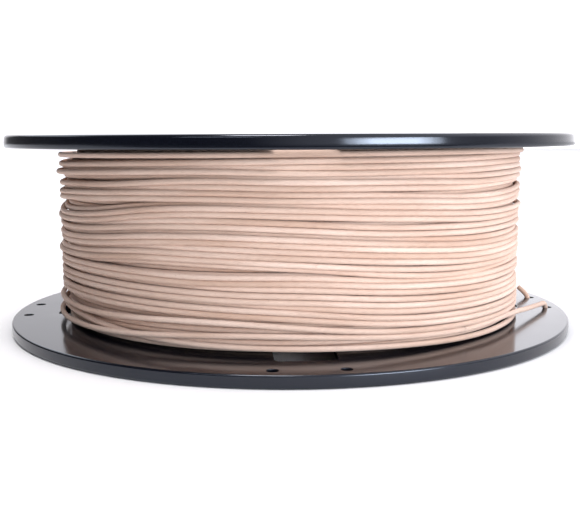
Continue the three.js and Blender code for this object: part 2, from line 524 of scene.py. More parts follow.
@dataclass(frozen=True)
class WoodStrand:
    """Wood-filled filament: matt and dry, with fine fibres drawn out along the strand."""

    slot: str = "wood_filament"
    pale: Point = (0.752, 0.572, 0.478)
    deep: Point = (0.560, 0.378, 0.288)
    fibre: Point = (0.34, 0.205, 0.140)
    tone_scale: float = 14.0
    tone_range: Span = (0.35, 0.65)
    fibre_stretch: Point = (420.0, 2600.0, 2600.0)
    fibre_range: Span = (0.48, 0.78)
    fibre_share: Span = (0.0, 0.34)
    fleck_stretch: Point = (900.0, 2200.0, 2200.0)
    fleck_range: Span = (0.64, 0.76)
    fleck_share: Span = (0.0, 0.38)
    fibre_depth: float = 0.03 * MM
    fibre_strength: float = 0.6
    roughness: Span = (0.66, 0.86)
    refraction: float = 1.46
    specular: float = 0.32
    sheen: float = 0.12
    sheen_roughness: float = 0.5

    def material(self) -> bpy.types.Material:
        """Build the node material, textured along the strand by its "strand" attribute."""
        bench = NodeBench.for_material(self.slot)
        along = bench.add("ShaderNodeAttribute", attribute_name="strand").outputs["Vector"]
        tone = bench.noise(bench.scaled(along, (self.tone_scale,) * 3), 1.0, 3.0)
        fibres = bench.noise(bench.scaled(along, self.fibre_stretch), 1.0, 4.0)
        flecks = bench.noise(bench.scaled(along, self.fleck_stretch), 1.0, 2.0)
        ground = bench.mixed(bench.ranged(tone, self.tone_range), self.pale, self.deep)
        threads = bench.mixed(bench.ranged(tone, bench.MIDDLE), self.deep, self.fibre)
        threaded = bench.ranged(fibres, self.fibre_range, self.fibre_share)
        specks = bench.mixed(bench.ranged(fibres, bench.MIDDLE), self.fibre, self.deep)
        flecked = bench.ranged(flecks, self.fleck_range, self.fleck_share)
        return bench.surface(
            Base_Color=bench.mixed(flecked, bench.mixed(threaded, ground, threads), specks),
            Roughness=bench.ranged(fibres, bench.MIDDLE, self.roughness),
            Normal=bench.bump(fibres, self.fibre_depth, self.fibre_strength),
            IOR=self.refraction,
            Specular_IOR_Level=self.specular,
            Sheen_Weight=self.sheen,
            Sheen_Roughness=self.sheen_roughness,
        )


Finish = PolishedPlastic | SatinPlastic | WoodStrand


@dataclass
class PaintShop:
    """Makes each finish's material once, and finishes pieces in it."""

    materials: dict[str, bpy.types.Material] = field(default_factory=dict)

    def deliver(self, piece: Piece, finish: Finish, *nodes: str) -> Piece:
        """Dress a piece, let it ride on the spool's body, and log it.

        Args:
            piece: The piece.
            finish: What it is made of, which also names its material slot.
            nodes: The CAD nodes that it stands for.

        Returns:
            The same piece.
        """
        if finish.slot not in self.materials:
            self.materials[finish.slot] = finish.material()
        piece.data.materials.clear()
        piece.data.materials.append(self.materials[finish.slot])
        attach(piece, BODY)
        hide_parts(*nodes)
        faces = len(piece.data.polygons)
        LOG.info("%s: %d faces, stands for %s", piece.name, faces, ", ".join(nodes))
        return piece


# ---------------------------------------------------------------- flanges


@dataclass
class FlangeMould:
    """One flange moulding, lying with its ribbed outer face down at z = 0."""

    radius: float
    thickness: float
    recess: float = 2.4 * MM
    rim_width: float = 2.7 * MM
    edge_fillet: float = 1.2 * MM
    lip_fillet: float = 0.65 * MM
    draft: float = 0.22 * MM
    crown: float = 0.06 * MM
    crown_share: float = 0.6
    crown_fillet: float = 9.0 * MM
    inner_fillet: float = 0.3 * MM
    bore_radius: float = 29.3 * MM
    boss_radius: float = 33.0 * MM
    backing_inner: float = 41.0 * MM
    backing_width: float = 2.0 * MM
    rib_setback: float = 0.4 * MM
    rib_count: int = 8
    rib_width: float = 1.6 * MM
    window_count: int = 4
    window_start: float = 46.0 * MM
    window_end: float = 84.3 * MM
    window_width: float = 18.6 * MM
    window_corner: float = 2.5 * MM
    hole_ring: float = 94.9 * MM
    hole_radius: float = 1.7 * MM
    hole_angle: float = math.radians(6.15)
    hole_sides: int = 32
    cut_fillet: float = 0.25 * MM
    cut_steps: int = 4
    corner_steps: int = 8
    slot_inner: float = 34.9 * MM
    slot_outer: float = 38.2 * MM
    slot_width: float = 9.6 * MM
    slot_corner: float = 0.4 * MM
    segments: int = 288
    margin: float = 1.0 * MM

    def disc(self) -> Piece:
        """Turn the disc with its rim, web, backing ring and bore boss."""
        soft = self.inner_fillet
        rim_inner = self.radius - self.rim_width
        backing_outer = self.backing_inner + self.backing_width
        corners = [
            (self.bore_radius, 0.0, soft),
            (self.boss_radius, 0.0, soft),
            (self.boss_radius, self.recess, soft),
            (self.backing_inner, self.recess, soft),
            (self.backing_inner, self.rib_setback, soft),
            (backing_outer, self.rib_setback, soft),
            (backing_outer, self.recess, soft),
            (rim_inner, self.recess, soft),
            (rim_inner, 0.0, soft),
            (self.radius - self.draft, 0.0, self.edge_fillet),
            (self.radius, self.crown_share * self.thickness, self.crown_fillet),
            (self.radius - self.crown, self.thickness, self.lip_fillet),
            (self.bore_radius, self.thickness, soft),
        ]
        return turned("flange_blank", rounded_outline(corners), self.segments)

    def rib(self, angle: float) -> Piece:
        """Make one radial rib with soft lower edges.

        Args:
            angle: Its place round the flange.

        Returns:
            The rib, let into the web, the backing ring and the rim.
        """
        half = self.rib_width / 2
        soft = self.inner_fillet
        section = rounded_outline(
            [
                (-half, self.recess + soft, 0.0),
                (-half, self.rib_setback, soft),
                (half, self.rib_setback, soft),
                (half, self.recess + soft, 0.0),
            ]
        )
        ends = (self.backing_inner + self.backing_width / 2, self.radius - self.rim_width / 2)
        return turn_about_z(extruded("rib", section, Axis.X, ends), angle)

    def cutter(self, outline: Outline) -> Piece:
        """Make a cutter through the web that leaves rounded edges at both of its faces.

        Args:
            outline: Gives the cutter's (x, y) outline grown by an offset.

        Returns:
            The cutter, standing past both faces.
        """
        low, high, fillet = self.recess, self.thickness, self.cut_fillet
        turns = np.linspace(0.0, math.pi / 2, self.cut_steps)
        rise = fillet * np.sin(turns)
        flare = fillet * (1.0 - np.cos(turns))
        heights = [low - self.margin, *(low + fillet - rise[::-1])]
        heights += [*(high - fillet + rise), high + self.margin]
        offsets = [fillet, *flare[::-1], *flare, fillet]
        rings = [
            np.insert(outline(offset), Axis.Z, height, axis=1)
            for height, offset in zip(heights, offsets)
        ]
        return loft("cutter", np.array(rings))

    def box_outline(self, start: float, end: float, width: float, corner: float) -> Outline:
        """Return the growing outline of a round-cornered opening that lies along +X.

        Args:
            start: Its radius nearest the axis.
            end: Its radius farthest out.
            width: Its width.
            corner: The radius of its corners.

        Returns:
            The outline, as a function of how far it has grown.
        """

        def grown(offset: float) -> np.ndarray:
            """Return the outline grown by that offset."""
            half = width / 2 + offset
            spans = (start - offset, end + offset), (-half, half)
            return rounded_box(*spans, (corner + offset,) * 4, self.corner_steps)

        return grown

    def hole_outline(self) -> Outline:
        """Return the growing outline of a strand hole on +X."""

        def grown(offset: float) -> np.ndarray:
            """Return the outline grown by that offset."""
            return (self.hole_ring, 0.0) + (self.hole_radius + offset) * circle(self.hole_sides)

        return grown

    def cutters(self) -> list[Piece]:
        """Make the cutters of every window, strand hole and hook slot."""
        window = self.box_outline(
            self.window_start, self.window_end, self.window_width, self.window_corner
        )
        slot = self.box_outline(self.slot_inner, self.slot_outer, self.slot_width, self.slot_corner)
        hole = self.hole_outline()
        quarter = 2 * math.pi / self.window_count
        tools = []
        for index in range(self.window_count):
            tools.append(turn_about_z(self.cutter(window), index * quarter))
            for side in (-1, 1):
                angle = index * quarter + side * self.hole_angle
                tools.append(turn_about_z(self.cutter(hole), angle))
            tools.append(turn_about_z(self.cutter(slot), (index + 0.5) * quarter))
        return tools

    def moulding(self, name: str) -> Piece:
        """Make the whole flange, outer face down.

        Args:
            name: The new object's name.

        Returns:
            The linked object.
        """
        flange = self.disc()
        step = 2 * math.pi / self.rib_count
        ribs = [self.rib((index + 0.5) * step) for index in range(self.rib_count)]
        combine(flange, ribs, Join.ADD)
        combine(flange, self.cutters(), Join.CUT)
        flange.name = name
        return crisp(flange)


@dataclass
class FlangePair:
    """The two flanges: the same moulding, the upper one turned over."""

    shop: PaintShop
    finish: PolishedPlastic = PolishedPlastic()

    def build(self) -> list[Piece]:
        """Build and deliver both flanges."""
        low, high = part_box("lower_flange")
        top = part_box("upper_flange")[1].z
        mould = FlangeMould(radius=high.x, thickness=high.z - low.z)
        lower = mould.moulding("flange_lower_moulding")
        upper = piece_from_mesh("flange_upper_moulding", lower.data.copy())
        turn_over = Euler((math.pi, 0.0, 0.0)).to_matrix().to_4x4()
        turn_over.translation = Vector((0.0, 0.0, top))
        upper.data.transform(turn_over)
        self.shop.deliver(lower, self.finish, "lower_flange")
        self.shop.deliver(upper, self.finish, "upper_flange")
        return [lower, upper]


# ---------------------------------------------------------------- hub


@dataclass
class Hub:
    """The core barrel with its snap hooks, and the sleeve that runs on the spindle."""

    shop: PaintShop
    finish: SatinPlastic = SatinPlastic()
    barrel_radius: float = 40.0 * MM
    barrel_wall: float = 2.4 * MM
    barrel_gap: float = 0.3 * MM
    bore_radius: float = 26.5 * MM
    sleeve_radius: float = 29.0 * MM
    sleeve_fillet: float = 0.8 * MM
    fin_count: int = 4
    fin_width: float = 2.0 * MM
    fin_reach: float = 35.6 * MM
    fin_fillet: float = 0.4 * MM
    hook_count: int = 4
    hook_width: float = 9.0 * MM
    hook_inner: float = 36.1 * MM
    hook_outer: float = 37.9 * MM
    hook_nose: float = 1.2 * MM
    hook_root: float = 6.0 * MM
    hook_catch: float = 1.1 * MM
    hook_lead: float = 0.45
    anchor_radius: float = 1.5 * MM
    anchor_height: float = 8.5 * MM
    anchor_angle: float = math.radians(22.5)
    anchor_sides: int = 24
    anchor_margin: float = 2.0 * MM
    edge_fillet: float = 0.3 * MM
    segments: int = 192

    def hook(self, tip: float, catch: float, root: float, angle: float) -> Piece:
        """Make one snap hook.

        Args:
            tip: Height of the hook's free tip.
            catch: Height of the step that catches behind the flange's web.
            root: Height where the hook ends on the barrel's wall.
            angle: Its place round the barrel.

        Returns:
            The hook, a bent profile as wide as the hook.
        """
        slope = self.hook_lead * (catch - tip)
        nose = self.hook_outer + self.hook_nose
        profile = np.array(
            [
                (self.hook_inner, tip),
                (self.hook_outer, tip),
                (nose, tip + slope),
                (nose, catch),
                (self.hook_outer, catch),
                (self.hook_outer, root),
                (self.hook_inner, root),
            ]
        )
        if catch < tip:
            profile = profile[::-1]
        sides = (self.hook_width / 2, -self.hook_width / 2)
        return turn_about_z(extruded("hook", profile, Axis.Y, sides), angle)

    def barrel(self) -> Piece:
        """Make the barrel with hooks at both ends and the anchor hole."""
        low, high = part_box("core_barrel")
        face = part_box("lower_flange")[1].z + self.barrel_gap
        width = high.z + low.z
        inner = self.barrel_radius - self.barrel_wall
        outline = rounded_box(
            (inner, self.barrel_radius), (face, width - face), (self.edge_fillet,) * 4
        )
        body = turned("core_barrel_moulding", outline, self.segments)
        catch = low.z + self.hook_catch
        hooks = []
        for index in range(self.hook_count):
            angle = (index + 0.5) * 2 * math.pi / self.hook_count
            hooks.append(self.hook(low.z, catch, face + self.hook_root, angle))
            hooks.append(self.hook(high.z, width - catch, width - face - self.hook_root, angle))
        combine(body, hooks, Join.ADD)
        hole = (0.0, self.anchor_height) + self.anchor_radius * circle(self.anchor_sides)
        ends = (inner - self.anchor_margin, self.barrel_radius + self.anchor_margin)
        anchor = turn_about_z(extruded("anchor", hole, Axis.X, ends), self.anchor_angle)
        combine(body, [anchor], Join.CUT)
        return crisp(body)

    def sleeve(self) -> Piece:
        """Make the spindle sleeve with its fins."""
        low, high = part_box("hub_sleeve")
        soft = self.sleeve_fillet
        wall = (self.bore_radius, self.sleeve_radius)
        outline = rounded_box(wall, (low.z, high.z), (soft, soft / 2, soft / 2, soft))
        body = turned("hub_sleeve_moulding", outline, self.segments)
        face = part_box("lower_flange")[1].z + self.barrel_gap
        half = self.fin_width / 2
        start = (self.bore_radius + self.sleeve_radius) / 2
        fillets = (0.0, self.fin_fillet, self.fin_fillet, 0.0)
        section = rounded_box((start, self.fin_reach), (-half, half), fillets)
        ends = (face, high.z + low.z - face)
        step = 2 * math.pi / self.fin_count
        fins = [
            turn_about_z(extruded("fin", section, Axis.Z, ends), index * step)
            for index in range(self.fin_count)
        ]
        combine(body, fins, Join.ADD)
        return crisp(body)

    def build(self) -> list[Piece]:
        """Build and deliver the hub's two mouldings."""
        barrel = self.shop.deliver(self.barrel(), self.finish, "core_barrel")
        sleeve = self.shop.deliver(self.sleeve(), self.finish, "hub_sleeve")
        return [barrel, sleeve]


# ---------------------------------------------------------------- winding


@dataclass(frozen=True)
class Stray:
    """A stretch where one turn leaves its layer's level.

    Attributes:
        turn: The turn, counted back from the loose end.
        start: Where the stretch starts round the spool, in degrees.
        end: Where it ends.
        lift: How far out the turn rides on its neighbours; negative where it has sunk.
    """

    turn: int
    start: float
    end: float
    lift: float


class Lay(Enum):
    """Which way a layer's strand travels as it goes round."""

    CLIMBING = 1
    FALLING = -1


@dataclass
class Course:
    """One layer's strand, sampled at even angles: its angle, height and radius."""

    angle: np.ndarray
    height: np.ndarray
    radius: np.ndarray


@dataclass
class Winding:
    """The filament on the spool: packed layers inside, single strands outside.

    The outermost layer is laid first. Its last turns follow the loose end's own course,
    and the others are spread evenly above them, no closer than touching. Each layer below
    hangs from the one above it, pressed as far out as that layer leaves room.
    """

    shop: PaintShop
    finish: WoodStrand = WoodStrand()
    strand: float = 1.75 * MM
    core_radius: float = 40.3 * MM
    outer_radius: float = 82.2 * MM
    outer_turns: float = 31.6
    inner_turns: int = 31
    samples: int = 180  # places round each turn
    sides: tuple[int, int, int] = (12, 10, 8)
    low_height: float = 5.4 * MM
    top_height: float = 61.75 * MM
    top_tilt: float = 0.75 * MM  # how much higher the top turn lies at its high side
    top_side: float = math.radians(-50.0)
    proud_room: float = -0.55 * MM  # room over a nested layer; below 0 it lies deeper
    nest_share: float = 0.92  # how far in a nested layer lies, in strands
    least_gap: float = 1.25 * MM
    touching: Span = (1.002, 1.003)  # least spacing in strands, outermost and below
    wedge_contrast: float = 4.2  # how unevenly the slack between turns is shared out
    side_sway: Span = (1.25, 0.55)  # looseness: its middle, and its change round the spool
    drift_size: float = 0.42 * MM  # how far turns wander up and down
    level_noise: float = 0.16 * MM  # how far they wander in and out
    turn_climb: float = 3.1  # how fast a wander changes from turn to turn
    wave_count: int = 14
    wave_rounds: int = 3
    wave_climb: float = 1.4
    ramp: float = 0.12  # turns over which the layer's start comes up
    first_sink: float = 0.85  # how deep it starts, in strands
    stray_ease: float = 22.0  # degrees over which a stray leaves its layer's level
    knots_end: float = -52.0  # the last knot's angle in degrees
    course_blur: float = 3.5  # in places, as the next blurs are
    taut_blur: Span = (4.0, 2.0)
    taut_passes: int = 10
    rows_in_bulk: int = 24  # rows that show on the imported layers' ends
    row_arc: int = 5  # points across each row
    row_depth: Span = (0.1, 0.45)  # in millimetres
    row_gap: float = 0.3 * MM
    bulk_inset: float = 0.25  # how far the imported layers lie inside, in strands
    bulk_percentile: float = 5.0
    seed: int = 5

    # (degrees round the spool, height, radius) in millimetres, along the last turns.
    LAST = (
        (-412, 5.5, 81.3), (-350, 5.6, 81.5), (-290, 6.4, 82.2), (-230, 7.2, 82.8),
        (-190, 7.4, 82.6), (-158, 7.5, 82.7), (-139, 7.9, 82.9), (-131, 8.6, 83.0),
        (-122, 9.4, 82.8), (-112, 10.3, 82.2), (-100, 10.9, 81.9), (-88, 10.4, 81.7),
        (-80, 9.7, 81.5), (-70, 8.8, 81.4), (-60, 8.3, 81.35), (-52, 8.1, 81.35),
    )
    SECOND = (
        (-412, 9.9, 81.3), (-350, 9.2, 81.3), (-290, 8.9, 81.3), (-230, 9.8, 81.3),
        (-158, 11.1, 81.3), (-148, 10.2, 81.3), (-132, 8.8, 81.3), (-122, 7.6, 81.3),
        (-103, 7.0, 81.3), (-80, 6.7, 81.3), (-66, 6.2, 81.3), (-52, 5.5, 81.3),
    )
    THIRD = (
        (-412, 11.7, 81.3), (-350, 11.3, 81.4), (-290, 11.4, 81.8), (-230, 12.2, 82.4),
        (-190, 12.9, 82.2), (-148, 12.9, 82.3), (-137, 13.1, 82.4), (-128, 13.7, 82.4),
        (-116, 14.4, 82.1), (-103, 14.3, 81.9), (-90, 12.9, 81.7), (-80, 11.4, 81.5),
        (-70, 10.5, 81.4), (-60, 10.0, 81.35), (-52, 9.9, 81.3),
    )
    FOURTH = (
        (-412, 13.5, 81.3), (-350, 13.0, 81.3), (-290, 13.0, 81.3), (-230, 14.4, 81.3),
        (-190, 16.0, 81.3), (-148, 17.2, 81.3), (-120, 16.7, 81.3), (-103, 16.2, 81.3),
        (-90, 15.5, 81.3), (-80, 13.8, 81.3), (-70, 12.5, 81.3), (-52, 11.7, 81.3),
    )
    STRAYS = (
        Stray(5, -200, -92, -1.6), Stray(8, -178, -104, -1.6), Stray(11, -215, -72, -1.6),
        Stray(14, -190, -118, -1.6), Stray(17, -172, -64, -1.5), Stray(19, -205, -128, -1.6),
        Stray(22, -185, -84, -1.6), Stray(25, -210, -122, -1.6), Stray(27, -186, -58, -1.6),
        Stray(29, -176, -100, -1.6), Stray(12, -186, -128, 0.9), Stray(28, -196, -134, 0.9),
        Stray(20, -180, -140, 0.7), Stray(10, -80, -20, -1.3), Stray(24, -70, -10, -1.3),
        Stray(30, -48, 16, 1.0), Stray(26, -40, 20, 0.6), Stray(20, -36, 24, 0.5),
        Stray(7, -30, 70, -1.3), Stray(13, 20, 150, -1.4), Stray(16, -26, 60, -1.2),
        Stray(23, 40, 140, -1.5), Stray(4, 60, 160, -1.3), Stray(31, 10, 120, -1.2),
    )

    def __post_init__(self) -> None:
        """Read the faces that the winding lies between, and open the seeded generator."""
        self.floor_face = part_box("lower_flange")[1].z
        self.roof_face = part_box("upper_flange")[0].z
        self.generator = np.random.default_rng(self.seed)

    @staticmethod
    def softened(values: np.ndarray, width: float) -> np.ndarray:
        """Blur values along a strand with a Gaussian.

        Args:
            values: One value for each place.
            width: The Gaussian's width, in places.

        Returns:
            The blurred values.
        """
        reach = int(3 * width) + 1
        kernel = np.exp(-0.5 * (np.arange(-reach, reach + 1) / width) ** 2)
        padded = np.pad(values, reach, mode="edge")
        return np.convolve(padded, kernel / kernel.sum(), mode="valid")

    @staticmethod
    def spaced(wanted: np.ndarray, gaps: np.ndarray) -> np.ndarray:
        """Move heights as little as possible until they keep their gaps.

        Args:
            wanted: Rising heights.
            gaps: The least distance of each from the one before; the first is not used.

        Returns:
            The nearest heights, in the least-squares sense, that keep the gaps.
        """
        shift = np.concatenate([[0.0], np.cumsum(gaps[1:])])
        blocks: list[tuple[float, int]] = []
        for value in wanted - shift:
            mean, size = float(value), 1
            while blocks and blocks[-1][0] > mean:
                other, count = blocks.pop()
                mean = (mean * size + other * count) / (size + count)
                size += count
            blocks.append((mean, size))
        return np.concatenate([np.full(size, mean) for mean, size in blocks]) + shift

    def drift(self, turn: np.ndarray, angle: np.ndarray, size: float) -> np.ndarray:
        """Return a slow seeded wander over the layer, the same for neighbouring turns.

        Args:
            turn: Turns along the strand at each place; a larger scale wanders faster.
            angle: The angle round the spool at each place.
            size: About how far it wanders.

        Returns:
            The wander at each place.
        """
        total = np.zeros_like(turn)
        for _ in range(self.wave_count):
            rounds = int(self.generator.integers(-self.wave_rounds, self.wave_rounds + 1))
            climb = self.generator.uniform(-self.wave_climb, self.wave_climb)
            phase = self.generator.uniform(0.0, 2 * math.pi)
            total += np.cos(rounds * angle + climb * turn + phase) / (1.0 + abs(rounds))
        return size * total / 2.0

    def level(self, turns_left: np.ndarray, degrees: np.ndarray) -> np.ndarray:
        """Return how far each place of the outermost layer lies off its radius.

        Args:
            turns_left: Turns back from the loose end at each place.
            degrees: The angle round the spool at each place.

        Returns:
            The lift at each place; negative where a turn has sunk.
        """
        lift = np.zeros_like(turns_left)
        number = np.floor(turns_left).astype(int)
        for stray in self.STRAYS:
            middle, half = (stray.start + stray.end) / 2, (stray.end - stray.start) / 2
            away = np.abs((degrees - middle + 180.0) % 360.0 - 180.0)
            share = smooth_step((half - away) / self.stray_ease + 0.5)
            lift += np.where(number == stray.turn, share * stray.lift * MM, 0.0)
        return lift

    @staticmethod
    def knotted(knots: Sequence[Point], degrees: np.ndarray) -> tuple[np.ndarray, np.ndarray]:
        """Return the course of one of the last turns along its knots.

        Args:
            knots: The turn's knots.
            degrees: Angles round the spool, counted back over the turns.

        Returns:
            The height and the radius at each angle.
        """
        table = np.array(knots, float)
        height = np.interp(degrees, table[:, 0], table[:, 1]) * MM
        radius = np.interp(degrees, table[:, 0], table[:, 2]) * MM
        return height, radius

    def outermost(self, end_angle: float) -> Course:
        """Lay the outermost layer, down to the loose end.

        Args:
            end_angle: Where the loose end leaves it.

        Returns:
            The layer's course, which ends at the loose end.
        """
        count = round(self.outer_turns * self.samples)
        turns_left = np.arange(count, -1, -1) / self.samples
        angle = end_angle - 2 * math.pi * turns_left
        degrees = np.degrees(angle)
        nominal = self.outer_radius - self.strand / 2
        noise = self.drift(turns_left * self.turn_climb, angle, self.level_noise)
        radius = nominal + self.level(turns_left, degrees) + noise
        start = smooth_step((turns_left[0] - turns_left) / self.ramp)
        radius -= (1.0 - start) * self.first_sink * self.strand
        height = np.zeros_like(radius)
        led = (self.LAST, self.SECOND, self.THIRD, self.FOURTH)
        for number, knots in enumerate(led):
            here = np.floor(turns_left + WHOLE_TURN_SLIP) == number
            local = degrees[here] + 360.0 * number + (self.knots_end - math.degrees(end_angle))
            height[here], radius[here] = self.knotted(knots, local)
        height = self.spread(height, radius, turns_left, angle, len(led))
        blur = self.course_blur
        return Course(angle, self.softened(height, blur), self.softened(radius, blur))

    def spread(
        self,
        height: np.ndarray,
        radius: np.ndarray,
        turns_left: np.ndarray,
        angle: np.ndarray,
        led: int,
    ) -> np.ndarray:
        """Spread the turns above the led ones evenly, none closer than touching.

        Args:
            height: Heights of the led turns; the others are filled in.
            radius: The layer's radius at each place.
            turns_left: Turns back from the loose end at each place.
            angle: The angle round the spool at each place.
            led: How many turns are led.

        Returns:
            All the heights.
        """
        loose_side = self.side_sway[0] - self.side_sway[1] * np.cos(angle - self.top_side)
        wander = self.drift(turns_left, angle, self.drift_size) * loose_side
        openness = self.drift(turns_left * self.turn_climb, angle, self.wedge_contrast)
        looseness = np.exp(openness * loose_side)
        total = len(height)
        for column in range(self.samples):
            places = np.arange(total - 1 - column, -1, -self.samples)
            steps = np.diff(radius[places], prepend=radius[places[0]])
            gaps = np.sqrt(np.maximum(self.strand**2 - steps**2, self.least_gap**2))
            gaps *= self.touching[0]
            gaps[0] = 0.0
            free = places[led - 1 :]
            first = height[free[0]]
            top = self.top_height + self.top_tilt * math.cos(angle[places[0]] - self.top_side)
            need = np.cumsum(gaps[led - 1 :]) - gaps[led - 1]
            room = top - first
            squeeze = min(1.0, room / need[-1])
            need *= squeeze
            opened = np.cumsum(looseness[free]) - looseness[free[0]]
            wanted = first + need + (room - need[-1]) * opened / opened[-1] + wander[free]
            free_gaps = gaps[led - 1 :] * squeeze
            wanted[0], wanted[-1] = first, top
            settled = self.spaced(wanted, free_gaps)
            settled = np.maximum(settled, first + need)
            ceiling = top - (need[-1] - need)
            height[free] = np.minimum(settled, ceiling)
        return height

    def hung(self, above: Course, turns: int, lay: Lay) -> Course:
        """Lay a layer that hangs from the one above it.

        Args:
            above: The layer over it.
            turns: How many turns it has.
            lay: Which way its strand travels.

        Returns:
            The layer's course, which ends where the layer above starts.
        """
        count = turns * self.samples
        along = np.arange(count + 1) / self.samples
        angle = above.angle[0] - 2 * math.pi * (turns - along)
        share = along / turns if lay is Lay.CLIMBING else 1.0 - along / turns
        wanted = self.low_height + (self.top_height - self.low_height) * share
        wanted += self.drift(along, angle, 2.0 * self.drift_size)
        height = np.zeros_like(wanted)
        radius = np.full_like(wanted, self.outer_radius)
        cap = np.median(above.radius) - self.nest_share * self.strand + self.proud_room
        for column in range(self.samples):
            places = np.arange(column, count + 1, self.samples)[:: lay.value]
            gaps = np.full(len(places), self.touching[1] * self.strand)
            settled = self.spaced(wanted[places], gaps)
            least = self.low_height + np.arange(len(places)) * gaps[0]
            most = self.top_height - (len(places) - 1 - np.arange(len(places))) * gaps[0]
            height[places] = np.clip(settled, least, most)
        height = self.softened(height, self.course_blur)
        for column in range(self.samples):
            mine = np.arange(column, count + 1, self.samples)
            theirs = np.arange(column, len(above.height), self.samples)
            offset = height[mine][:, None] - above.height[theirs][None, :]
            lift = np.sqrt(np.maximum(self.strand**2 - offset**2, 0.0))
            room = np.where(lift > 0, above.radius[theirs][None, :] - lift, cap)
            radius[mine] = np.minimum(room.min(axis=1), cap)
        return Course(angle, height, -self.taut(-radius))

    def taut(self, contact: np.ndarray) -> np.ndarray:
        """Pull a strand tight over what it lies on, so that it bridges hollows.

        Args:
            contact: The radius where it would touch at each place.

        Returns:
            Its radius at each place.
        """
        radius = contact.copy()
        for _ in range(self.taut_passes):
            radius = np.maximum(contact, self.softened(radius, self.taut_blur[0]))
        return self.softened(radius, self.taut_blur[1])

    def tube(self, name: str, course: Course, sides: int) -> Piece:
        """Make a layer's strand along its course.

        Args:
            name: The new object's name.
            course: The strand's course.
            sides: The corners of its section.

        Returns:
            The linked object.
        """
        outward = np.zeros((len(course.angle), 3))
        outward[:, 0] = np.cos(course.angle)
        outward[:, 1] = np.sin(course.angle)
        centre = outward * course.radius[:, None]
        centre[:, 2] = course.height
        around = 2 * math.pi * (np.arange(sides) + 0.5) / sides
        section = self.strand / 2 * np.column_stack([np.cos(around), np.sin(around)])
        upward = np.broadcast_to((0.0, 0.0, 1.0), centre.shape)
        return swept(name, centre, (outward, upward), section, -travelled(centre)[-1])

    def bulk(self, outer: float) -> Piece:
        """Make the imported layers, whose turns show as rounded rows at both ends.

        Args:
            outer: Their outer radius.

        Returns:
            The linked object.
        """
        pitch = (outer - self.core_radius) / self.rows_in_bulk
        arc = np.linspace(0.0, math.pi, self.row_arc + 1)[:-1]
        radii, bulge = [], []
        for row in range(self.rows_in_bulk):
            radii.extend(self.core_radius + pitch * (row + 0.5 - 0.5 * np.cos(arc)))
            bulge.extend(np.sin(arc))
        radii = np.array([*radii, outer])
        bulge = np.array([*bulge, 0.0])
        angles = 2 * math.pi * np.arange(self.samples) / self.samples
        rows = np.minimum((radii - self.core_radius) / pitch, self.rows_in_bulk - 1).astype(int)
        sway = self.generator.uniform(0.0, 2 * math.pi, (self.rows_in_bulk, 2))
        depth = self.generator.uniform(*self.row_depth, self.rows_in_bulk) * MM
        half = self.strand / 2
        line_radii = np.concatenate([radii, radii[::-1]])
        rings = []
        for angle in angles:
            near = depth[rows] * (1.0 + np.cos(angle + sway[rows, 0]))
            far = depth[rows] * (1.0 + np.cos(angle + sway[rows, 1]))
            low = self.floor_face + self.row_gap + half + near - half * bulge
            high = self.roof_face - self.row_gap - half - far + half * bulge
            flat = line_radii[:, None] * (math.cos(angle), math.sin(angle))
            rings.append(np.column_stack([flat, np.concatenate([low, high[::-1]])]))
        rings = np.array(rings)
        texture = np.zeros(rings.shape)
        texture[..., 0] = angles[:, None] * self.outer_radius
        texture[..., 1] = line_radii[None, :]
        texture[..., 2] = rings[..., 2]
        return loft("filament_packed_layers", rings[:, ::-1], closed=True, texture=texture[:, ::-1])

    def build(self, tail_start: Point) -> list[Piece]:
        """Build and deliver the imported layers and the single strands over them.

        Args:
            tail_start: Where the outermost strand becomes the loose end.

        Returns:
            The pieces, from the outside in.
        """
        first = self.outermost(math.atan2(tail_start[1], tail_start[0]))
        first.radius[-1], first.height[-1] = math.hypot(*tail_start[:2]), tail_start[2]
        second = self.hung(first, self.inner_turns, Lay.CLIMBING)
        third = self.hung(second, self.inner_turns, Lay.FALLING)
        courses = {"outer": first, "middle": second, "inner": third}
        pieces = []
        for (name, course), sides in zip(courses.items(), self.sides):
            layer = self.tube(f"filament_{name}_layer", course, sides)
            pieces.append(self.shop.deliver(layer, self.finish, "filament_outer_turns"))
        deepest = float(np.percentile(third.radius, self.bulk_percentile))
        packed = self.bulk(deepest - self.bulk_inset * self.strand)
        pieces.append(self.shop.deliver(packed, self.finish, "filament_winding"))
        return pieces


# ---------------------------------------------------------------- loose ends


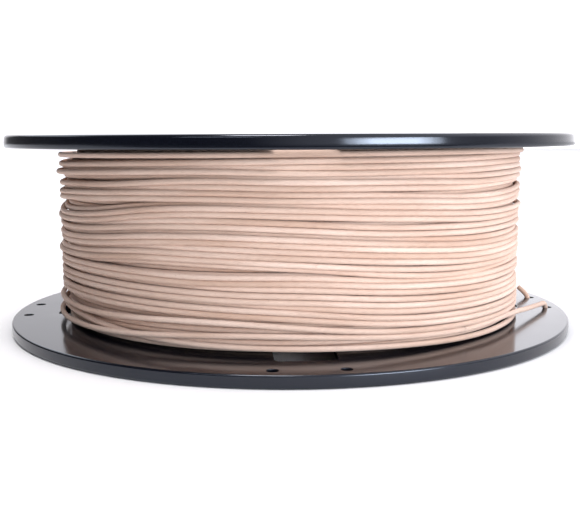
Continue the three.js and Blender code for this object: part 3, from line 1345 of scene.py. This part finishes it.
@dataclass
class LooseEnds:
    """The strand's two ends: the tail threaded through the rim, and the anchored start."""

    shop: PaintShop
    finish: WoodStrand = WoodStrand()
    strand: float = 1.75 * MM
    sides: int = 16
    step: float = 0.5 * MM
    worn_end: float = 0.86  # the snipped end's width, in strands
    curve_steps: int = 24
    anchor_height: float = 8.5 * MM
    anchor_angle: float = math.radians(22.5)

    # The tail's course in millimetres, from where it leaves the winding to its tip.
    ROUTE = (
        (50.1, -64.1, 8.1), (55.5, -59.5, 8.2), (60.5, -54.4, 8.3), (65.1, -48.8, 8.3),
        (70.2, -42.1, 8.1), (76.2, -34.1, 7.7), (79.9, -29.3, 7.3), (84.1, -23.7, 6.9),
        (87.7, -18.9, 6.6), (90.1, -15.6, 6.35), (91.6, -13.5, 6.25), (92.55, -12.15, 6.05),
        (93.3, -11.1, 5.35), (93.8, -10.45, 4.2), (94.05, -10.1, 3.15), (94.4, -9.55, 2.15),
        (94.85, -8.6, 1.4), (95.3, -7.3, 1.1), (95.9, -3.5, 1.1), (95.8, 0, 1.1),
        (95.4, 3.5, 1.1), (94.75, 7.15, 1.1), (94.4, 8.5, 1.35), (94.13, 9.42, 2.02),
        (93.95, 9.95, 3.1), (93.75, 10.3, 4.2), (93.15, 10.8, 5.45), (91.9, 11.65, 6.85),
        (90.55, 12.55, 8.15),
    )
    # The first end's course at the anchor's height, before it is turned to the anchor.
    START = (
        (32.4, 2.6), (33.9, 1.5), (35.6, 0.5), (37.4, 0.1), (39.2, 0.0), (41.0, -0.1),
        (42.4, -0.8), (43.3, -2.1), (43.6, -3.8), (43.5, -5.6),
    )

    def smooth_path(self, points: np.ndarray) -> np.ndarray:
        """Run a centripetal Catmull-Rom curve through points.

        Args:
            points: The points, of shape (n, 3).

        Returns:
            The curve's points, evenly spaced.
        """
        ends = np.vstack([2 * points[0] - points[1], points, 2 * points[-1] - points[-2]])
        pieces = []
        for index in range(len(points) - 1):
            p0, p1, p2, p3 = ends[index : index + 4]
            t1 = np.linalg.norm(p1 - p0) ** 0.5
            t2 = t1 + np.linalg.norm(p2 - p1) ** 0.5
            t3 = t2 + np.linalg.norm(p3 - p2) ** 0.5
            t = np.linspace(t1, t2, self.curve_steps, endpoint=False)[:, None]
            a1 = (t1 - t) / t1 * p0 + t / t1 * p1
            a2 = (t2 - t) / (t2 - t1) * p1 + (t - t1) / (t2 - t1) * p2
            a3 = (t3 - t) / (t3 - t2) * p2 + (t - t2) / (t3 - t2) * p3
            b1 = (t2 - t) / t2 * a1 + t / t2 * a2
            b2 = (t3 - t) / (t3 - t1) * a2 + (t - t1) / (t3 - t1) * a3
            pieces.append((t2 - t) / (t2 - t1) * b1 + (t - t1) / (t2 - t1) * b2)
        dense = np.vstack([*pieces, points[-1:]])
        along = travelled(dense)
        even = np.linspace(0.0, along[-1], int(along[-1] / self.step) + 1)
        return np.stack([np.interp(even, along, dense[:, axis]) for axis in Axis], axis=1)

    def tube(self, name: str, path: np.ndarray) -> Piece:
        """Make a strand along a free path, snipped square with a slightly worn rim at its end.

        Args:
            name: The new object's name.
            path: Points along its centre.

        Returns:
            The linked object.
        """
        forward = np.gradient(path, axis=0)
        forward /= np.linalg.norm(forward, axis=1)[:, None]
        side = np.cross(forward[0], (0.0, 0.0, 1.0))
        sides = []
        for direction in forward:
            side = side - direction * (side @ direction)
            side /= np.linalg.norm(side)
            sides.append(side)
        across = np.array(sides)
        width = np.full(len(path), self.strand / 2)
        width[-1] *= self.worn_end
        section = circle(self.sides)[None] * width[:, None, None]
        return swept(name, path, (across, np.cross(across, forward)), section)

    def tail(self) -> Piece:
        """Build the loose end that leaves the winding and threads through the rim holes."""
        path = self.smooth_path(np.array(self.ROUTE) * MM)
        strand = self.tube("filament_loose_end", path)
        piece = self.shop.deliver(strand, self.finish, "filament_tail")
        return piece

    def anchored_start(self) -> Piece:
        """Build the strand's first end, hooked through the barrel's anchor hole."""
        flat = np.array(self.START)
        points = np.column_stack([flat, np.full(len(flat), self.anchor_height / MM)]) * MM
        piece = self.tube("filament_anchored_start", self.smooth_path(points))
        turn_about_z(piece, self.anchor_angle)
        return self.shop.deliver(piece, self.finish, "filament_inner_end")


# ---------------------------------------------------------------- studio


class Glow(Enum):
    """A lamp's colour."""

    DAYLIGHT = (0.94, 1.0, 1.08)
    WARM = (1.03, 0.985, 0.975)


@dataclass(frozen=True)
class SoftBox:
    """A rectangular lamp.

    Attributes:
        name: Its name.
        place: Where it hangs.
        aim: The point that it faces.
        size: Its width and height.
        radiance: How bright it looks, whatever its size.
        glow: Its colour.
    """

    name: str
    place: Point
    aim: Point
    size: Span
    radiance: float
    glow: Glow = Glow.DAYLIGHT

    def hang(self) -> None:
        """Link the lamp into the scene."""
        data = bpy.data.lights.new(self.name, "AREA")
        data.shape = "RECTANGLE"
        data.size, data.size_y = self.size
        data.energy = self.radiance * math.pi * self.size[0] * self.size[1]
        data.color = self.glow.value
        light = bpy.data.objects.new(self.name, data)
        light.location = self.place
        turn = (Vector(self.aim) - Vector(self.place)).to_track_quat("-Z", "Y")
        light.rotation_euler = turn.to_euler()
        bpy.context.scene.collection.objects.link(light)


@dataclass
class Studio:
    """A pale floor in soft light: bright behind and to the right, dim at the front left."""

    camera_distance: float = 335.5 * MM
    camera_azimuth: float = -93.2
    camera_height: float = 67.5 * MM
    camera_tilt: float = 7.68
    camera_roll: float = -0.25
    lens: float = 56.4
    sensor: float = 36.0
    clip_start: float = 0.01
    floor_width: float = 6.0
    floor_front: float = -0.32
    floor_back: float = 4.0
    floor_depth: float = 0.01
    floor_colour: Point = (0.92, 0.92, 0.925)
    floor_shade: float = 0.985
    floor_cloud: float = 3.0
    floor_roughness: float = 0.7
    window: SoftBox = SoftBox(
        "window", (0.62, -0.92, 0.17), (0.0, 0.0, 0.034), (0.56, 0.26), 21.5
    )
    # Each pane's share of the window's width and height, and how much farther the next is.
    window_panes: tuple[Span, ...] = ((0.70, 0.91), (1.0, 1.0), (1.35, 1.105))
    window_step: float = 0.02
    lamps: tuple[SoftBox, ...] = (
        SoftBox("strip", (-0.50, -0.84, 0.70), (0.0, 0.0, 0.034), (0.52, 0.06), 10.0),
        SoftBox("overhead", (-0.12, -0.27, 0.95), (0.0, 0.0, 0.0), (0.3, 0.3), 17.0, Glow.WARM),
        SoftBox("far overhead", (-0.6, 2.4, 1.5), (-0.6, 2.4, 0.0), (3.0, 3.4), 1.3),
    )
    air_colour: Point = (1.0, 0.985, 1.03)
    # (the direction's sideways part, brightness) from left to right.
    back_panel: tuple[Span, ...] = (
        (-1.0, 0.08), (-0.54, 0.12), (-0.38, 1.04), (0.0, 1.3),
        (0.28, 2.2), (0.45, 1.8), (0.8, 1.3), (1.0, 0.9),
    )
    front_panel: tuple[Span, ...] = (
        (-1.0, 0.02), (-0.6, 0.03), (-0.3, 0.10), (0.05, 0.85), (0.5, 1.15), (1.0, 0.5),
    )
    sky_panel: tuple[Span, ...] = (
        (-1.0, 0.04), (-0.5, 0.08), (0.0, 0.7), (0.5, 1.5), (1.0, 1.6),
    )
    panel_scale: float = 2.0  # a colour ramp holds brightness over this, at most 1
    below_front: float = 0.05
    below_fade: Span = (0.0, -0.15)
    back_fade: Span = (-0.25, 0.3)
    sky_fade: Span = (0.2, 0.6)

    def camera(self) -> None:
        """Set up the camera a little above mid height, looking slightly down."""
        data = bpy.data.cameras.new("camera")
        data.lens = self.lens
        data.sensor_width = self.sensor
        data.clip_start = self.clip_start
        camera = bpy.data.objects.new("camera", data)
        bpy.context.scene.collection.objects.link(camera)
        azimuth = math.radians(self.camera_azimuth)
        camera.location = (
            self.camera_distance * math.cos(azimuth),
            self.camera_distance * math.sin(azimuth),
            self.camera_height,
        )
        yaw = math.radians(self.camera_azimuth + 90.0)
        camera.rotation_mode = "XYZ"
        look = Euler((math.radians(90.0 - self.camera_tilt), 0.0, yaw)).to_matrix()
        roll = Euler((0.0, 0.0, math.radians(self.camera_roll))).to_matrix()
        camera.rotation_euler = (look @ roll).to_euler()
        bpy.context.scene.camera = camera

    def floor(self) -> None:
        """Lay the pale floor."""
        half = self.floor_width / 2
        outline = rounded_box((-half, half), (self.floor_front, self.floor_back), (0.0,) * 4)
        floor = extruded("studio_floor", outline, Axis.Z, (-self.floor_depth, 0.0))
        floor.data.polygons.foreach_set("use_smooth", np.zeros(len(floor.data.polygons), bool))
        bench = NodeBench.for_material("studio_floor")
        place = bench.add("ShaderNodeTexCoord").outputs["Object"]
        cloud = bench.noise(place, self.floor_cloud, 2.0)
        darker = tuple(self.floor_shade * part for part in self.floor_colour)
        colour = bench.mixed(cloud, self.floor_colour, darker)
        paint = bench.surface(Base_Color=colour, Roughness=self.floor_roughness)
        floor.data.materials.append(paint)

    def lights(self) -> None:
        """Hang a soft-edged window, as panes one behind the other, and the lamps."""
        reach = Vector(self.window.place)
        width, height = self.window.size
        for order, (across, upward) in enumerate(self.window_panes):
            pane = replace(
                self.window,
                place=tuple(reach * (1.0 + self.window_step * order)),
                size=(width * across, height * upward),
                radiance=self.window.radiance / len(self.window_panes),
            )
            pane.hang()
        for lamp in self.lamps:
            lamp.hang()

    def panel(self, bench: NodeBench, sideways: Socket, stops: Sequence[Span]) -> Socket:
        """Return a brightness that changes from left to right.

        Args:
            bench: The surroundings' bench.
            sideways: The direction's sideways part, mapped to 0 to 1.
            stops: The sideways part and brightness of each stop.

        Returns:
            The brightness, over the panel scale.
        """
        node = bench.add("ShaderNodeValToRGB", {"Fac": sideways})
        bands = node.color_ramp.elements
        while len(bands) < len(stops):
            bands.new(0.5)
        for band, (place, value) in zip(bands, stops):
            band.position = (place + 1.0) / 2
            band.color = (*[value / self.panel_scale] * 3, 1.0)
        return node.outputs["Color"]

    def world(self) -> None:
        """Light the surroundings: white behind, falling off to the left, dim in front."""
        world = bpy.data.worlds.new("studio")
        bench = NodeBench(world, "ShaderNodeOutputWorld")
        direction = bench.add("ShaderNodeTexCoord").outputs["Generated"]
        parts = bench.add("ShaderNodeSeparateXYZ", {"Vector": direction}).outputs
        sideways = bench.ranged(parts["X"], (-1.0, 1.0))
        front, back, sky = (
            self.panel(bench, sideways, stops)
            for stops in (self.front_panel, self.back_panel, self.sky_panel)
        )
        below, behind, above = (
            bench.ranged(parts[axis], fade)
            for axis, fade in (("Z", self.below_fade), ("Y", self.back_fade), ("Z", self.sky_fade))
        )
        front = bench.mixed(below, front, self.below_front, Mix.VALUE)
        level = bench.mixed(behind, front, back, Mix.VALUE)
        bright = bench.mixed(above, level, sky, Mix.VALUE)
        feeds = {0: bright, 1: self.panel_scale}
        strength = bench.add("ShaderNodeMath", feeds, operation="MULTIPLY").outputs["Value"]
        feeds = {"Color": self.air_colour, "Strength": strength}
        air = bench.add("ShaderNodeBackground", feeds).outputs["Background"]
        bench.feed(bench.output.inputs["Surface"], air)
        bpy.context.scene.world = world

    def build(self) -> None:
        """Set up the camera, floor, lights and surroundings."""
        self.camera()
        self.floor()
        self.lights()
        self.world()
        bpy.context.scene.view_settings.view_transform = "Standard"
        bpy.context.scene.view_settings.look = "None"


def main() -> None:
    """Build the studio and the spool in order, and report the pieces."""
    logging.basicConfig(level=logging.INFO, format="%(name)s: %(message)s")
    Studio().build()
    shop = PaintShop()
    ends = LooseEnds(shop)
    pieces = [ends.tail(), ends.anchored_start()]
    tail_start = tuple(value * MM for value in ends.ROUTE[0])
    pieces += Winding(shop).build(tail_start)
    pieces += Hub(shop).build()
    pieces += FlangePair(shop).build()
    LOG.info("built %d pieces", len(pieces))


if __name__ == "__main__":
    main()
